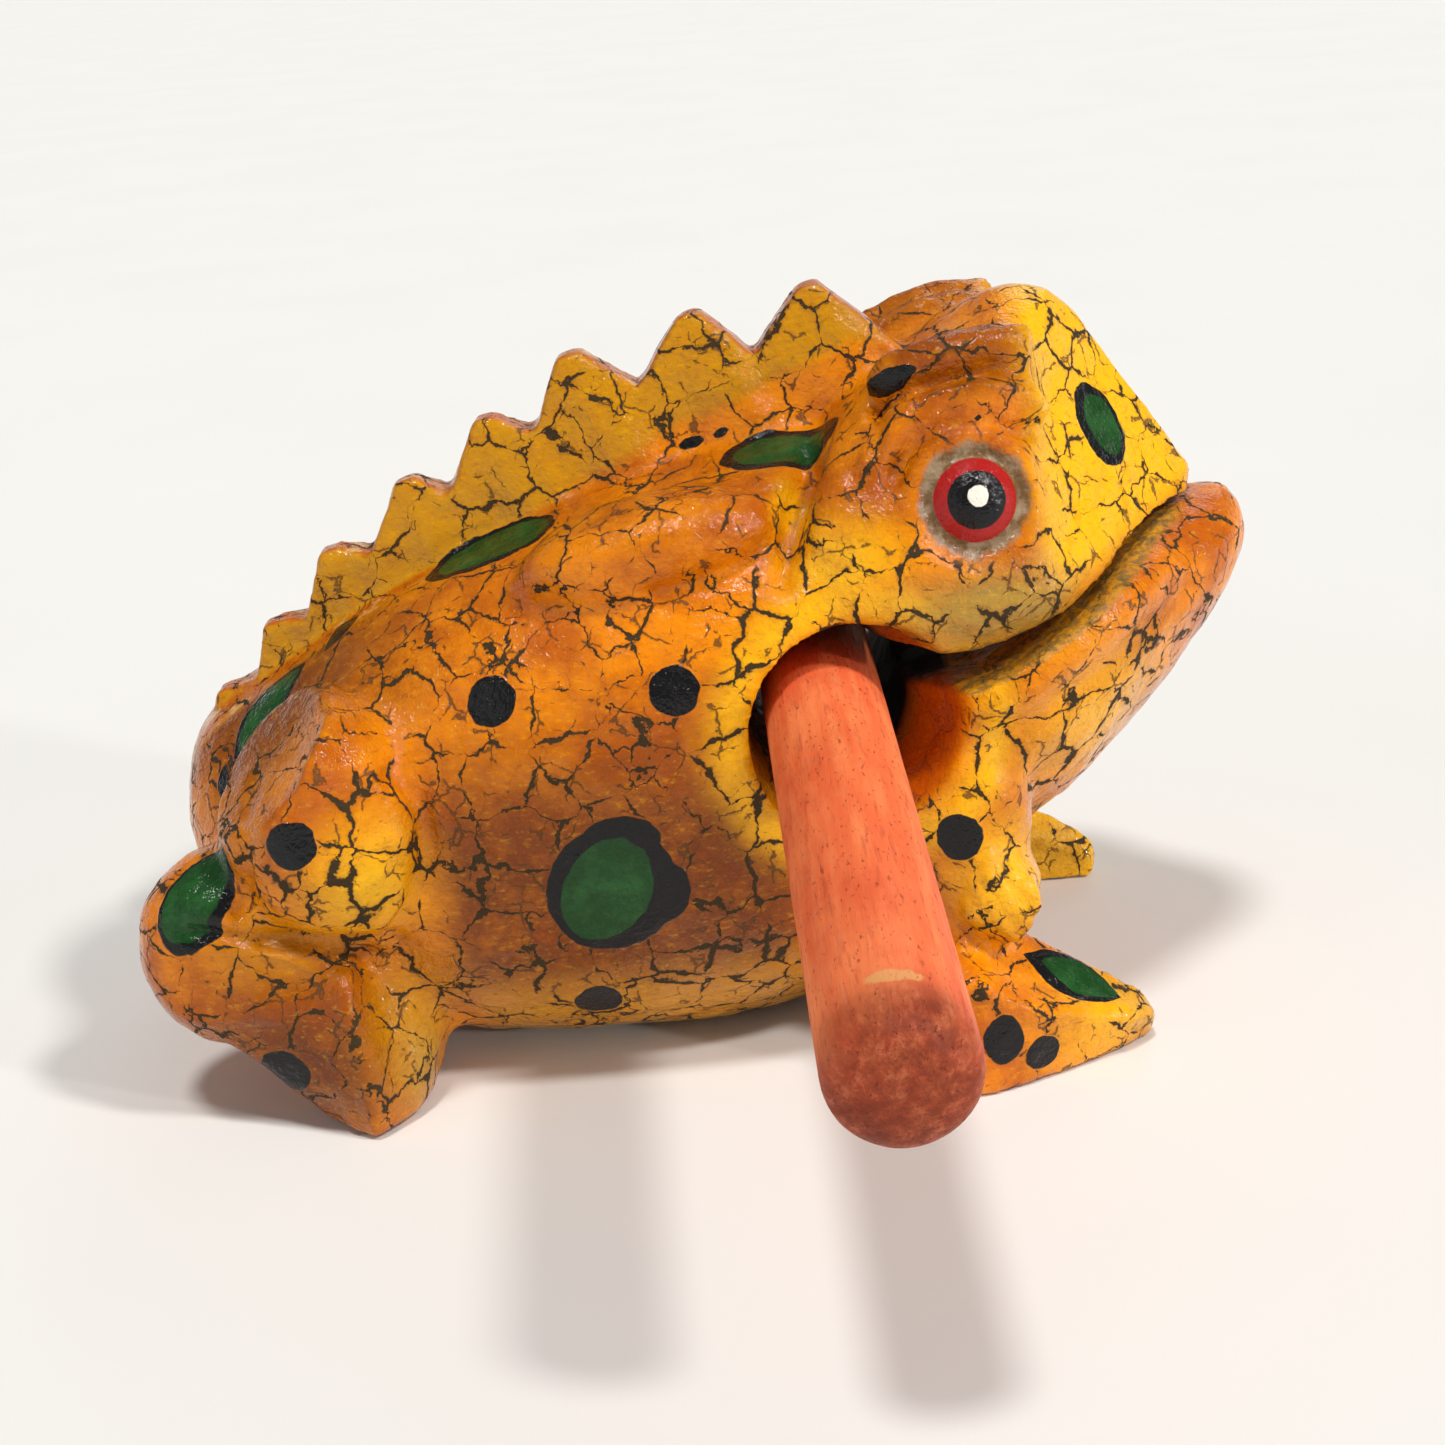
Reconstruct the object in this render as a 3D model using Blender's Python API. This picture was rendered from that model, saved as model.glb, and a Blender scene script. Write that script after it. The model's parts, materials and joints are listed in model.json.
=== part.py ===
"""Small carved wooden frog guiro: one hollowed block with a toothed spine, and the loose scraper stick.

Run with: blender --background --python part.py
Frame: metres, +X out of the frog's nose, +Y to its left, +Z up. The origin is the middle of its flat base.
"""

import math

import bmesh
import bpy
import numpy as np
from mathutils import Euler, Matrix, Vector

MM = 0.001  # every size below is in millimetres

# The carved block ---------------------------------------------------------------------------------
# Stations along the length: x, lowest z, highest z, half width, height of the widest place (0 to 1),
# roundness (1 is a diamond, 2 an ellipse, more is squarer), forward lean of the section.
TORSO = (
    (-46.4, 20.5, 25.5, 3.5, 0.50, 2.0, 0.0),
    (-45.4, 16.5, 28.5, 7.5, 0.50, 2.0, 0.0),
    (-43.0, 12.5, 31.6, 11.0, 0.45, 2.1, 0.0),
    (-36.0, 5.5, 36.0, 17.5, 0.45, 2.2, 0.0),
    (-28.0, 2.0, 41.0, 21.0, 0.50, 2.3, 0.0),
    (-19.0, 0.0, 45.4, 22.5, 0.50, 2.3, 0.0),
    (-8.0, -0.8, 50.0, 22.8, 0.52, 2.3, 0.0),
    (3.0, -0.6, 53.2, 22.5, 0.55, 2.3, 0.0),
    (12.0, 1.5, 54.6, 21.8, 0.58, 2.2, 0.0),
    (20.0, 5.5, 54.0, 20.5, 0.60, 2.0, 0.0),
    (26.0, 10.5, 50.0, 18.0, 0.60, 2.0, 0.0),
    (30.0, 15.0, 46.0, 13.0, 0.60, 2.0, 0.0),
)
HEAD = (
    (9.0, 40.0, 56.0, 14.5, 0.40, 2.2, 0.50),
    (11.5, 35.0, 59.0, 19.2, 0.38, 2.2, 0.40),
    (17.0, 32.0, 60.4, 21.2, 0.34, 2.0, 0.25),
    (24.0, 32.0, 62.9, 21.6, 0.32, 1.8, 0.08),
    (30.0, 33.0, 64.6, 20.0, 0.28, 1.6, 0.0),
    (33.6, 35.0, 64.0, 17.0, 0.25, 1.45, 0.0),
    (37.0, 38.0, 60.0, 13.2, 0.22, 1.3, 0.0),
    (41.0, 41.5, 54.6, 8.2, 0.20, 1.3, 0.0),
    (45.4, 45.0, 47.7, 3.0, 0.40, 1.5, 0.0),
)
JAW = (
    (16.0, 14.0, 38.0, 18.5, 0.75, 1.9, 0.0),
    (24.0, 14.0, 40.0, 20.8, 0.80, 1.7, 0.0),
    (30.0, 15.5, 41.5, 20.9, 0.84, 1.6, 0.0),
    (36.0, 20.0, 44.0, 18.4, 0.85, 1.6, 0.0),
    (41.0, 25.5, 45.8, 14.6, 0.84, 1.6, 0.0),
    (45.5, 31.5, 46.6, 10.4, 0.80, 1.7, 0.0),
    (48.4, 36.0, 45.9, 6.8, 0.70, 1.8, 0.0),
    (50.2, 39.6, 43.4, 2.8, 0.60, 2.0, 0.0),
)
SECTION_POINTS = 40
STATION_STEPS = 5

# Round masses: centre x, y, z, then half sizes x, y, z, then turns about x, y, z in degrees.
# Each stands for a pair, one on each side.
PAIRED_MASSES = {
    "brow": ((25.0, 9.4, 57.6), (9.0, 5.4, 5.0), (0, -10, 3)),
    "eyelid": ((21.8, 14.0, 54.4), (7.4, 3.8, 3.2), (0, -17, 4)),
    "shoulder": ((-1.6, 12.0, 45.9), (12.6, 8.0, 5.4), (20, -9, -3)),
    "eye": ((24.2, 16.2, 50.4), (4.4, 4.4, 4.4), (0, 0, 0)),
    "thigh": ((-31.2, 17.6, 26.6), (9.4, 9.6, 11.4), (0, -14, 10)),
    "knee": ((-27.8, 18.8, 24.0), (5.6, 6.8, 9.0), (0, 0, 0)),
    "shank": ((-38.4, 17.0, 14.0), (10.4, 8.6, 6.8), (0, 12, 6)),
    "hock": ((-41.2, 17.4, 15.4), (7.9, 7.6, 9.0), (0, 0, 0)),
    "upper_arm": ((23.2, 15.0, 21.0), (5.5, 5.8, 11.0), (0, 6, 0)),
}
WRIST_CENTRE = (25.4, 18.4, 15.8)
WRIST_SIZE = (6.0, 7.8, 6.0)
WRIST_PITCH = 28.0

# Front foot: x, then y and z of the inner top edge, y and z of the outer ridge, y of the outer sole edge.
FRONT_FOOT = (
    (17.0, 15.0, 10.0, 20.0, 7.5, 22.5),
    (21.5, 15.0, 14.2, 24.6, 10.2, 26.0),
    (26.5, 15.2, 11.6, 24.8, 7.6, 24.4),
    (31.0, 15.4, 9.0, 23.0, 5.6, 21.8),
    (35.2, 15.6, 6.6, 20.6, 3.9, 18.8),
    (38.0, 15.8, 4.7, 18.4, 2.8, 16.8),
    (39.4, 15.6, 3.0, 16.8, 1.8, 16.0),
)
FRONT_FOOT_INNER = 14.5  # y of the inner sole edge
FRONT_FOOT_SHIFT = {-1: (0.0, 0.0), 1: (1.0, 3.0)}  # the left foot stands further forward and out, in x and y
FOOT_BOTTOM = -1.0  # feet start below the floor plane, which then cuts them flat
# Rear foot: outlines in x and y at four heights, from the heel round the outer ridge to the instep.
REAR_FOOT = (
    (0.0, ((-33.8, 14.0), (-33.6, 22.6), (-31.2, 25.4), (-28.2, 25.6), (-25.8, 22.0), (-24.5, 14.0))),
    (5.0, ((-37.6, 14.0), (-37.4, 23.6), (-31.0, 26.4), (-28.2, 26.0), (-24.2, 20.4), (-23.4, 14.0))),
    (9.0, ((-42.0, 14.0), (-41.4, 23.4), (-31.6, 26.0), (-28.8, 25.4), (-24.8, 19.6), (-24.0, 14.0))),
    (14.0, ((-43.5, 12.0), (-42.5, 21.6), (-32.0, 25.2), (-30.0, 24.8), (-25.8, 18.6), (-25.0, 12.0))),
)

# The toothed spine, on the middle plane: x, z from the tail to the nape.
TAIL_END = (-46.2, 25.0)
TOOTH_ROOTS = (
    (-43.6, 30.0), (-39.0, 34.2), (-33.8, 39.3), (-27.4, 44.8), (-19.9, 49.7),
    (-12.0, 54.8), (-2.5, 58.2), (7.6, 60.0), (21.0, 59.4),
)
TOOTH_TIPS = (
    (-42.0, 33.4), (-37.0, 39.2), (-31.2, 45.6), (-23.9, 51.4),
    (-16.4, 56.5), (-8.5, 61.4), (2.0, 64.3), (12.3, 66.1),
)
TIP_FLAT = 0.9  # half width of each tooth's blunt top
TIP_SLOPE = 0.5  # how far that top falls towards the tail, for each mm along
TOOTH_TIP_HALF = 1.5
TOOTH_ROOT_HALF = 2.5
SPINE_BASE_HALF = 5.0
SPINE_DEPTH = 12.0

# How the joined masses are turned into one skin
SKIN_VOXEL = 0.9
SKIN_SMOOTH = 0.5
SKIN_SMOOTH_PASSES = 4
BODY_TRIANGLES = 7400

# Bore through the throat: y, centre x, centre z, radius. It is scooped wider at the right-hand rim.
BORE = (
    (-40.0, 19.7, 31.8, 14.8),
    (-21.0, 14.2, 32.0, 9.5),
    (-12.0, 11.6, 32.2, 7.0),
    (6.0, 11.4, 32.9, 6.8),
    (40.0, 11.0, 34.2, 6.6),
)
BORE_SIDES = 40
# The sawn mouth that runs into the bore: outlines in x and z
MOUTH_LOWER = (
    (12.0, 31.8), (17.0, 33.0), (24.5, 35.0), (27.0, 36.3), (30.5, 38.4), (34.2, 40.6),
    (37.3, 42.7), (41.0, 44.3), (45.0, 45.2), (56.0, 46.2),
)
MOUTH_UPPER = (
    (56.0, 54.0), (46.6, 51.0), (45.2, 46.4), (42.0, 45.8), (37.5, 44.2), (32.5, 40.9),
    (27.7, 38.9), (23.5, 37.9), (20.0, 38.0), (17.0, 37.4), (12.0, 35.4),
)
CUT_REACH = 60.0  # every cutter runs this far past the middle plane
BELOW_FLOOR = ((-CUT_REACH, -20.0), (CUT_REACH, -20.0), (CUT_REACH, 0.0), (-CUT_REACH, 0.0))

# The scraper stick -----------------------------------------------------------------------------
STICK_R = 5.25
STICK_NEAR_END = (12.17, -77.5, 29.45)
STICK_FAR_END = (10.7, 30.0, 34.5)
STICK_CAP = 3.6  # length of each rounded end
STICK_SIDES = 28
STICK_CAP_RINGS = 5
STICK_TIP_SHARE = 0.35  # share of a ring step from the tip to the flat at each end

# Colour and roughness of each material
PAINT = ((0.72, 0.30, 0.02), 0.3)
STAIN = ((0.62, 0.11, 0.04), 0.7)


def material(name, colour, roughness):
    """A Principled BSDF of one colour."""
    made = bpy.data.materials.new(name)
    made.use_nodes = True
    shader = made.node_tree.nodes["Principled BSDF"]
    shader.inputs["Base Color"].default_value = (*colour, 1.0)
    shader.inputs["Roughness"].default_value = roughness
    shader.inputs["Metallic"].default_value = 0.0
    return made


def to_object(bm, name):
    """Puts a bmesh into a new object, scaled from millimetres to metres."""
    bmesh.ops.recalc_face_normals(bm, faces=bm.faces)
    bm.transform(Matrix.Scale(MM, 4))
    mesh = bpy.data.meshes.new(name)
    bm.to_mesh(mesh)
    bm.free()
    made = bpy.data.objects.new(name, mesh)
    bpy.context.collection.objects.link(made)
    return made


def smooth_rows(rows, steps):
    """A Catmull-Rom curve through every column of rows."""
    points = np.array(rows, float)
    padded = np.vstack([2 * points[0] - points[1], points, 2 * points[-1] - points[-2]])
    curve = []
    for i in range(1, len(padded) - 2):
        before, start, end, after = padded[i - 1:i + 3]
        for t in np.arange(steps) / steps:
            curve.append(0.5 * (
                2 * start
                + (end - before) * t
                + (2 * before - 5 * start + 4 * end - after) * t ** 2
                + (3 * start - before - 3 * end + after) * t ** 3
            ))
    curve.append(padded[-2])
    return np.array(curve)


def skin(bm, rings):
    """Joins rings of equal length into one closed body."""
    made = [[bm.verts.new(point) for point in ring] for ring in rings]
    count = len(made[0])
    for a, b in zip(made, made[1:]):
        for i in range(count):
            j = (i + 1) % count
            bm.faces.new((a[i], a[j], b[j], b[i]))
    bm.faces.new(made[0][::-1])
    bm.faces.new(made[-1])


def section(x, low, high, half, widest, power, lean):
    """A ring across the length, its greatest width at a share of its height."""
    middle = low + (high - low) * widest
    ring = []
    for k in range(SECTION_POINTS):
        angle = 2 * math.pi * k / SECTION_POINTS
        across = math.copysign(abs(math.sin(angle)) ** (2 / power), math.sin(angle))
        upward = math.copysign(abs(math.cos(angle)) ** (2 / power), math.cos(angle))
        reach = high - middle if upward > 0 else middle - low
        ring.append((x + lean * reach * upward, half * across, middle + reach * upward))
    return ring


def trunk(bm, stations):
    """A loft centred on the middle plane."""
    skin(bm, [section(*row) for row in smooth_rows(stations, STATION_STEPS)])


def front_foot(bm, side):
    """A wedge with a sloping top, an outer ridge and a steep outer side."""
    forward, out = FRONT_FOOT_SHIFT[side]
    rings = []
    for x, inner_y, inner_z, ridge_y, ridge_z, sole_y in smooth_rows(FRONT_FOOT, STATION_STEPS):
        top = (inner_y, inner_z), (ridge_y, ridge_z)
        corners = ((FRONT_FOOT_INNER, FOOT_BOTTOM), *top, (sole_y, FOOT_BOTTOM))
        rings.append([(x + forward, side * (y + out), z) for y, z in corners])
    skin(bm, rings)


def rear_foot(bm, side):
    """A wedge that comes down to the floor along an upright outer ridge."""
    skin(bm, [[(x, side * y, z) for x, y in outline] for z, outline in REAR_FOOT])


def mass(bm, centre, half_sizes, turns, side):
    """An ellipsoid on one side of the middle plane."""
    x, y, z = centre
    roll, pitch, yaw = (math.radians(turn) for turn in turns)
    turned = Euler((side * roll, pitch, side * yaw)).to_matrix().to_4x4()
    place = Matrix.Translation((x, side * y, z)) @ turned @ Matrix.Diagonal((*half_sizes, 1))
    bmesh.ops.create_uvsphere(bm, u_segments=32, v_segments=18, radius=1.0, matrix=place)


def wrist(bm, side):
    """A knife-cut block on the outside of the arm."""
    x, y, z = WRIST_CENTRE
    place = Matrix.Translation((x, side * y, z)) @ Matrix.Rotation(math.radians(WRIST_PITCH), 4, "Y")
    bmesh.ops.create_cube(bm, size=1.0, matrix=place @ Matrix.Diagonal((*WRIST_SIZE, 1)))


def spine():
    """The toothed fin: blunt teeth in profile, thinner at their tips than where they meet the back."""
    profile = [(*TAIL_END, TOOTH_TIP_HALF)]
    for root, tip in zip(TOOTH_ROOTS, TOOTH_TIPS):
        profile.append((*root, TOOTH_ROOT_HALF))
        profile.append((tip[0] - TIP_FLAT, tip[1] - TIP_SLOPE * TIP_FLAT, TOOTH_TIP_HALF))
        profile.append((tip[0] + TIP_FLAT, tip[1], TOOTH_TIP_HALF))
    profile.append((*TOOTH_ROOTS[-1], TOOTH_ROOT_HALF))
    run_x, run_z = np.array(TOOTH_ROOTS[-1]) - np.array(TAIL_END)
    chord = math.hypot(run_x, run_z)
    inward_x, inward_z = SPINE_DEPTH * run_z / chord, -SPINE_DEPTH * run_x / chord
    rings = []
    for x, z, half in profile:
        base_x, base_z = x + inward_x, z + inward_z
        rings.append((
            (x, -half, z), (x, half, z),
            (base_x, SPINE_BASE_HALF, base_z), (base_x, -SPINE_BASE_HALF, base_z),
        ))
    bm = bmesh.new()
    skin(bm, rings)
    return to_object(bm, "spine_tool")


def prism(name, outline):
    """A cutter: an outline in x and z that runs right across the body."""
    bm = bmesh.new()
    sides = [[(x, y, z) for x, z in outline] for y in (-CUT_REACH, CUT_REACH)]
    skin(bm, sides)
    return to_object(bm, name)


def bore_tool():
    """Round sections along Y."""
    bm = bmesh.new()
    angles = [2 * math.pi * k / BORE_SIDES for k in range(BORE_SIDES)]
    rings = []
    for y, x, z, radius in BORE:
        rings.append([(x + radius * math.cos(a), y, z + radius * math.sin(a)) for a in angles])
    skin(bm, rings)
    return to_object(bm, "bore_tool")


def add_modifier(target, kind, **settings):
    modifier = target.modifiers.new(kind.lower(), kind)
    for key, value in settings.items():
        setattr(modifier, key, value)
    return modifier


def apply_modifiers(target):
    """Replaces an object's mesh by what its modifiers make of it."""
    graph = bpy.context.evaluated_depsgraph_get()
    graph.update()
    result = bpy.data.meshes.new_from_object(target.evaluated_get(graph))
    target.modifiers.clear()
    target.data = result


def combine(target, tool, operation):
    """Joins a tool to the target, or cuts it out, and hides the tool."""
    tool.hide_render = True
    tool.display_type = "WIRE"
    add_modifier(target, "BOOLEAN", object=tool, operation=operation, solver="EXACT")


def make_frog():
    bm = bmesh.new()
    for stations in (TORSO, HEAD, JAW):
        trunk(bm, stations)
    for side in (-1, 1):
        for centre, half_sizes, turns in PAIRED_MASSES.values():
            mass(bm, centre, half_sizes, turns, side)
        wrist(bm, side)
        front_foot(bm, side)
        rear_foot(bm, side)
    frog = to_object(bm, "frog_body")
    add_modifier(frog, "REMESH", mode="VOXEL", voxel_size=SKIN_VOXEL * MM)
    add_modifier(frog, "SMOOTH", factor=SKIN_SMOOTH, iterations=SKIN_SMOOTH_PASSES)
    apply_modifiers(frog)
    triangles = sum(len(face.vertices) - 2 for face in frog.data.polygons)
    add_modifier(frog, "DECIMATE", ratio=BODY_TRIANGLES / triangles)
    apply_modifiers(frog)
    combine(frog, spine(), "UNION")
    combine(frog, prism("base_tool", BELOW_FLOOR), "DIFFERENCE")
    combine(frog, prism("mouth_tool", MOUTH_LOWER + MOUTH_UPPER), "DIFFERENCE")
    combine(frog, bore_tool(), "DIFFERENCE")
    frog.data.materials.clear()
    frog.data.materials.append(material("painted_wood", *PAINT))
    return frog


def make_stick():
    """A round stick with domed ends, its origin and long axis on the line that it slides along."""
    near, far = Vector(STICK_NEAR_END), Vector(STICK_FAR_END)
    length = (far - near).length
    profile = []
    for k in range(STICK_CAP_RINGS):
        angle = 0.5 * math.pi * (k + STICK_TIP_SHARE) / STICK_CAP_RINGS
        profile.append((STICK_CAP * (1 - math.cos(angle)), STICK_R * math.sin(angle)))
    profile.append((STICK_CAP, STICK_R))
    profile += [(length - z, r) for z, r in profile[::-1]]
    bm = bmesh.new()
    angles = [2 * math.pi * k / STICK_SIDES for k in range(STICK_SIDES)]
    skin(bm, [[(r * math.cos(a), r * math.sin(a), z) for a in angles] for z, r in profile])
    stick = to_object(bm, "scraper_stick")
    stick.location = near * MM
    stick.rotation_euler = (far - near).to_track_quat("Z", "X").to_euler()
    stick.data.materials.append(material("stained_stick", *STAIN))
    stick.data.shade_smooth()
    stick.data.set_sharp_from_angle(angle=math.radians(40))
    return stick


def main():
    for old in list(bpy.data.objects):
        bpy.data.objects.remove(old, do_unlink=True)
    make_frog()
    make_stick()


main()
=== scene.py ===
"""The looks of a small carved and painted frog guiro with its scraper stick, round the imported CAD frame.

The frog's skin starts as the CAD body, is made fine, and is then carved further: eyes, lids, brows, folds
and flats. Its paint is worked out from distances and shares that are stored on the skin. Lengths are in
millimetres.
"""

import json
import math

import bpy
import numpy as np
from mathutils import Matrix, Vector, noise


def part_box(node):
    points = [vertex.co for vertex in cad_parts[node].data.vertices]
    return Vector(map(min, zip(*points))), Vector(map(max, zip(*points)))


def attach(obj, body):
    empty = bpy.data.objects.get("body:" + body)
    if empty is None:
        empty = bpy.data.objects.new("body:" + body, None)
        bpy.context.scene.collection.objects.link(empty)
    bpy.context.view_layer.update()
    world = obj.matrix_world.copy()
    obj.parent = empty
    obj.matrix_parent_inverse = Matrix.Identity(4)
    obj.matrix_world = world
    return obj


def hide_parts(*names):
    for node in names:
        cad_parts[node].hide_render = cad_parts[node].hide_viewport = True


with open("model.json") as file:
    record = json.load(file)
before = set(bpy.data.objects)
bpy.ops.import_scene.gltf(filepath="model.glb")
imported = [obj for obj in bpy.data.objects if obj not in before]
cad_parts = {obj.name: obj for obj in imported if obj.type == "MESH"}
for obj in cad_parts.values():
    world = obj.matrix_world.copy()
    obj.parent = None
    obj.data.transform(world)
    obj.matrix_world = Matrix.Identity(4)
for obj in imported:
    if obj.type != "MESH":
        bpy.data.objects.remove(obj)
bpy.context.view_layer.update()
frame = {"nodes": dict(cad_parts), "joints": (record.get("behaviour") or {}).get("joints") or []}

MM = 0.001  # one millimetre in metres
MILLI = 1000.0


# Small helpers --------------------------------------------------------------------------------
NOISE_STEP = (17.3, 5.1, -9.7)  # how far apart the noise is taken for two seeds
NOISE_GAIN = 1.6  # brings the noise to about -1 to 1


def ease(t):
    """A smooth step from 0 to 1."""
    t = np.clip(t, 0.0, 1.0)
    return t * t * (3 - 2 * t)


def rise(values, start, end):
    """A smooth step from 0 at start to 1 at end, where end may be the lower one."""
    return ease((values - start) / (end - start))


def unit(v):
    v = np.asarray(v, float)
    return v / np.linalg.norm(v)


def read_points(mesh):
    points = np.empty(len(mesh.vertices) * 3, np.float32)
    mesh.vertices.foreach_get("co", points)
    return points.reshape(-1, 3).astype(float) * MILLI


def write_points(mesh, points):
    mesh.vertices.foreach_set("co", (points * MM).astype(np.float32).ravel())
    mesh.update()


def read_normals(mesh):
    normals = np.empty(len(mesh.vertices) * 3, np.float32)
    mesh.vertex_normals.foreach_get("vector", normals)
    return normals.reshape(-1, 3).astype(float)


def read_edges(mesh):
    edges = np.empty(len(mesh.edges) * 2, np.int32)
    mesh.edges.foreach_get("vertices", edges)
    return edges.reshape(-1, 2)


def applied(piece):
    """Replaces a piece's mesh by what its modifiers make of it."""
    graph = bpy.context.evaluated_depsgraph_get()
    graph.update()
    mesh = bpy.data.meshes.new_from_object(piece.evaluated_get(graph))
    piece.modifiers.clear()
    piece.data = mesh


def relax(points, edges, share, passes, hold=0.0):
    """Moves every point towards, or with a negative share away from, the mean of its neighbours.

    hold is 1 where a point must stay, such as on a crisp edge."""
    count = np.bincount(edges.ravel(), minlength=len(points))[:, None]
    free = 1 - np.reshape(hold, (-1, 1))
    for amount in np.tile(share, passes):
        total = np.zeros_like(points)
        for axis in range(3):
            total[:, axis] = np.bincount(edges[:, 0], points[edges[:, 1], axis], len(points))
            total[:, axis] += np.bincount(edges[:, 1], points[edges[:, 0], axis], len(points))
        points = points + amount * free * (total / count - points)
    return points


def wobble(points, size, seed):
    """Smooth noise from about -1 to 1 at each point, of the given grain size."""
    shift = Vector([seed * step for step in NOISE_STEP])
    return np.array([noise.noise(Vector(p) / size + shift) for p in points]) * NOISE_GAIN


def line_distance(points, path):
    """Distance from each point to a path of straight runs, in as many dimensions as the path has."""
    path = np.asarray(path, float)
    nearest = np.full(len(points), 1e9)
    for a, b in zip(path, path[1:]):
        run = b - a
        t = np.clip((points - a) @ run / (run @ run), 0, 1)
        nearest = np.minimum(nearest, np.linalg.norm(points - a - t[:, None] * run, axis=1))
    return nearest


# Carving the frog -----------------------------------------------------------------------------
# Every shape below is given for one side and cut on both.
SKIN_VOXEL = 0.46
TAUBIN = (0.5, -0.52)  # shares of the smoothing step and of the step that undoes its shrinking
FIRST_PASSES = 7
LAST_PASSES = 2
CRISP_HOLD = 0.7  # how much of the smoothing the crisp edges are spared

EYE_CENTRE = (24.2, 18.2, 50.4)
EYE_AXIS = unit((0.06, 1.0, 0.30))
EYE_DOME_R = 4.7
EYE_DOME_DROP = 2.9  # how far the middle of the dome's ball lies under the eye's centre
EYE_EDGE = 3.55
EYE_GROOVE = 0.25
EYE_BANK = (0.5, 1.6)  # height and width of the slope that rises outwards from the groove
EYE_RING = 4.9
EYE_FADE = 6.8
EYE_REACH = 6.0  # how far along the eye's axis the carving takes hold

LINE_FADE = 2.0  # a side line starts at its least |y| and has its full height this much further out
LINE_FACING = (0.12, 0.42)  # how far skin must face sideways for side lines to start, and to be whole
FLAT_EDGE = 1.6  # how quickly a knife flat takes hold inside its reach

# Knife marks all over: depth, grain size, noise seed
KNIFE_MARKS = ((0.16, 5.5, 1), (0.07, 2.0, 2))
EYE_CALM = (3.0, 6.0)  # distances from an eye's axis between which the knife marks start

# Cuts and ridges on the sides: path in x and z, half width, height (negative cuts in), least |y|
SIDE_LINES = {
    "brow_ridge": (((15.5, 58.6), (20.0, 60.6), (25.0, 61.9), (28.4, 61.6)), 1.4, 1.3, 7.0),
    "brow_groove": (((17.0, 57.0), (21.5, 59.2), (26.5, 60.4)), 0.8, -1.5, 8.0),
    "lid_ridge": (
        ((16.5, 53.6), (17.8, 56.2), (20.5, 57.9), (24.5, 58.7), (28.0, 58.2), (30.0, 56.0)),
        1.1, 1.4, 9.0,
    ),
    "lid_groove": (
        ((17.8, 52.6), (19.4, 55.2), (22.6, 56.7), (26.6, 56.4), (28.8, 54.6)),
        0.7, -1.3, 9.0,
    ),
    "front_wrinkle": (((28.6, 61.6), (29.2, 59.4), (28.8, 57.4)), 0.8, 0.6, 7.0),
    "fold": (
        ((17.0, 61.0), (14.6, 58.6), (12.8, 56.7), (12.1, 54.4), (11.3, 52.6), (9.8, 48.6), (8.2, 44.8)),
        0.85, -1.5, 5.0,
    ),
    "fold_lip": (
        ((18.4, 61.0), (16.2, 58.6), (14.6, 56.4), (13.9, 54.0), (13.1, 52.0), (11.4, 48.0)),
        1.2, 0.8, 6.0,
    ),
    "crescent": (((15.9, 58.4), (17.0, 57.2), (17.3, 55.6), (16.6, 53.6)), 0.7, -0.9, 8.0),
    "lip_roll": (((25.5, 33.2), (31.0, 36.2), (36.0, 39.8), (41.0, 42.6)), 1.3, 0.5, 6.0),
    "lip_crease": (((26.0, 30.2), (31.5, 32.8), (37.0, 36.2), (43.0, 39.6)), 1.3, -0.6, 6.0),
    "cheek_line": (((20.0, 43.6), (25.0, 43.2), (31.0, 45.6), (35.0, 49.0)), 1.6, -0.45, 12.0),
    "shoulder_end": (
        ((11.0, 52.8), (9.6, 50.2), (8.2, 47.6), (4.4, 45.8), (-2.0, 44.6)),
        1.0, -0.8, 10.0,
    ),
    "shoulder_top": (((9.0, 51.4), (4.0, 50.6), (-6.0, 48.6), (-16.0, 45.2)), 2.0, 0.5, 10.0),
    "thigh_front": (
        ((-24.6, 32.0), (-22.8, 29.2), (-22.4, 25.4), (-23.6, 21.2), (-25.6, 18.4)),
        0.8, -0.8, 17.0,
    ),
    "thigh_bottom": (((-43.0, 19.2), (-37.2, 18.4), (-29.8, 17.4), (-26.0, 17.0)), 0.8, -0.9, 16.0),
    "thigh_ridge": (((-30.0, 38.6), (-30.4, 35.0), (-31.0, 31.6)), 1.2, 0.7, 12.0),
    "thigh_back": (((-37.4, 33.0), (-37.0, 28.6), (-37.6, 24.0), (-38.6, 20.6)), 0.9, -0.7, 17.0),
    "foot_ridge": (((-30.6, 15.4), (-30.6, 12.0), (-29.6, 7.2), (-29.3, 1.0)), 0.9, 0.8, 17.0),
    "instep": (((-28.6, 15.0), (-27.4, 10.0), (-26.8, 5.0)), 1.0, -0.5, 14.0),
    "toe_ridge": (((23.0, 9.4), (27.0, 7.2), (31.5, 5.4), (36.0, 3.6), (39.0, 2.2)), 0.7, 0.45, 16.0),
    "toe_groove": (((24.5, 10.8), (28.5, 8.4), (32.5, 6.4)), 0.5, -0.35, 19.0),
}

# Knife chatter on each wrist block: its middle and the way across its marks, in x and z, their spacing
# and depth, the distances from its middle between which they fade, and the |y| between which they start
WRIST = (25.6, 15.8)
WRIST_GRAIN = (0.84, 0.54)
WRIST_PITCH = 1.7
WRIST_DEPTH = 0.10
WRIST_FADE = (4.4, 3.2)
WRIST_START = (18.0, 20.0)

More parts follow.
